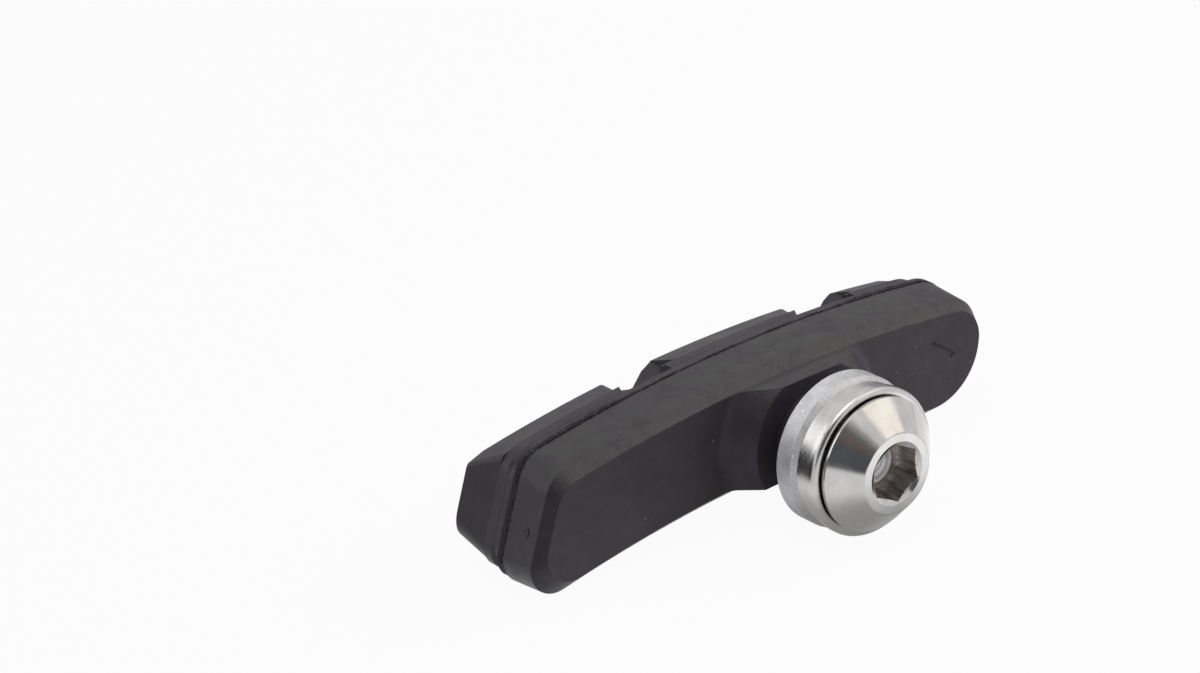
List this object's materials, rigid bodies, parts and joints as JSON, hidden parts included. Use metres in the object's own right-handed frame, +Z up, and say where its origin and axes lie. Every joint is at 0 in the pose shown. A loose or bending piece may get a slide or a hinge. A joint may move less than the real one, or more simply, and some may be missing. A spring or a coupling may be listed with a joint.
{
  "type": "bicycle rim brake pad",
  "caption": "Curved rubber rim brake pad with a grooved friction face, on a boss with a threaded insert, a dished ring, a domed washer and a socket head bolt.",
  "frame": {"origin": "centre of the seat on the pad's boss, where the dished ring lies, on the bolt axis", "axes": "+Y along the bolt axis from the brake arm towards the rim, +X along the pad from its square end to its round end, +Z up, away from the centre that the pad curves about"},
  "size_m": [0.0544, 0.0261, 0.0148],
  "materials": {
    "rubber": "matte moulded rubber, slightly dusty",
    "insert_steel": "plated, turned",
    "satin_steel": "fine blasted satin",
    "polished_steel": "polished"
  },
  "bodies": {
    "root": {"pad_block": "rubber", "threaded_insert": "insert_steel", "dished_ring": "satin_steel", "domed_washer": "polished_steel", "fixing_bolt": "polished_steel"}
  },
  "joints": []
}
